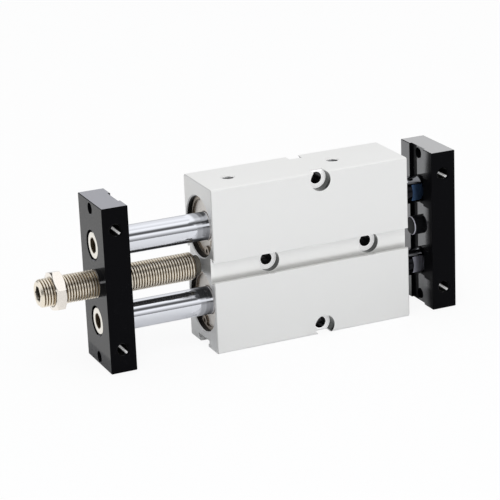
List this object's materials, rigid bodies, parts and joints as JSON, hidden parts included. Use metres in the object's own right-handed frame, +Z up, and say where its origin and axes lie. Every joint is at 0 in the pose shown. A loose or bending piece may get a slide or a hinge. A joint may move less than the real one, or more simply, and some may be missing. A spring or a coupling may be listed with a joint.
{
  "type": "guided pneumatic cylinder",
  "caption": "Flat twin-bore air cylinder with through rods, a plate at either end, a threaded stop bolt with lock nut and mounting holes through the barrel.",
  "frame": {"origin": "middle of the four mounting holes through the barrel, halfway through its thickness", "axes": "+X along the rods from the front plate with the stop bolt to the rear plate, +Y across the large faces, +Z up towards the air ports"},
  "size_m": [0.1557, 0.024, 0.06],
  "materials": {
    "barrel_anodised": "fine matt clear anodising",
    "plate_anodised": "smooth black anodising with a soft mirror",
    "cover_aluminium": "turned, warm silver",
    "rod_chrome": "ground and hard chromed",
    "nickel_steel": "warm nickel plate",
    "nickel_bright": "bright nickel plate",
    "screw_steel": "nickel plate",
    "spring_steel": "dark oiled spring steel",
    "piston_aluminium": "turned",
    "bush_bronze": "sintered bronze",
    "rubber_black": "moulded, satin",
    "guide_band_plastic": "natural",
    "magnet_grey": "bonded magnet"
  },
  "bodies": {
    "barrel": {"barrel": "barrel_anodised", "front_cover_upper": "cover_aluminium", "front_bush_upper": "bush_bronze", "front_rod_seal_upper": "rubber_black", "front_cover_seal_upper": "rubber_black", "front_retaining_ring_upper": "spring_steel", "front_cover_lower": "cover_aluminium", "front_bush_lower": "bush_bronze", "front_rod_seal_lower": "rubber_black", "front_cover_seal_lower": "rubber_black", "front_retaining_ring_lower": "spring_steel", "rear_cover_upper": "cover_aluminium", "rear_bush_upper": "bush_bronze", "rear_rod_seal_upper": "rubber_black", "rear_cover_seal_upper": "rubber_black", "rear_retaining_ring_upper": "spring_steel", "rear_cover_lower": "cover_aluminium", "rear_bush_lower": "bush_bronze", "rear_rod_seal_lower": "rubber_black", "rear_cover_seal_lower": "rubber_black", "rear_retaining_ring_lower": "spring_steel"},
    "carriage": {"front_plate": "plate_anodised", "rear_plate": "plate_anodised", "rear_bumper": "rubber_black", "rod_upper": "rod_chrome", "piston_upper": "piston_aluminium", "piston_seals_upper": "rubber_black", "piston_guide_band_upper": "guide_band_plastic", "piston_magnet_upper": "magnet_grey", "piston_rod_seal_upper": "rubber_black", "piston_clips_upper": "spring_steel", "front_screw_upper": "screw_steel", "rear_screw_upper": "screw_steel", "rod_lower": "rod_chrome", "piston_lower": "piston_aluminium", "piston_seals_lower": "rubber_black", "piston_guide_band_lower": "guide_band_plastic", "piston_magnet_lower": "magnet_grey", "piston_rod_seal_lower": "rubber_black", "piston_clips_lower": "spring_steel", "front_screw_lower": "screw_steel", "rear_screw_lower": "screw_steel"},
    "stop_pad": {"stop_pad": "rubber_black"},
    "stop_bolt": {"stop_bolt": "nickel_steel"},
    "lock_nut": {"lock_nut": "nickel_bright"}
  },
  "joints": [
    {"name": "carriage_slide", "type": "slide", "parent": "barrel", "child": "carriage", "axis": [1, 0, 0], "range_m": [-0.0072, 0.0009]},
    {"name": "stop_bolt_travel", "type": "slide", "parent": "carriage", "child": "stop_pad", "axis": [1, 0, 0], "range_m": [-0.012, 0]},
    {"name": "stop_bolt_turn", "type": "hinge", "parent": "stop_pad", "child": "stop_bolt", "pos_m": [-0.0765, 0, 0], "axis": [1, 0, 0], "range_deg": [-4320, 0]},
    {"name": "lock_nut_travel", "type": "slide", "parent": "stop_bolt", "child": "lock_nut", "axis": [1, 0, 0], "range_m": [-0.0025, 0.0118]}
  ],
  "couplings": [
    {"joint": "stop_bolt_turn", "follows": "stop_bolt_travel", "rad_per_m": 6283.2}
  ]
}
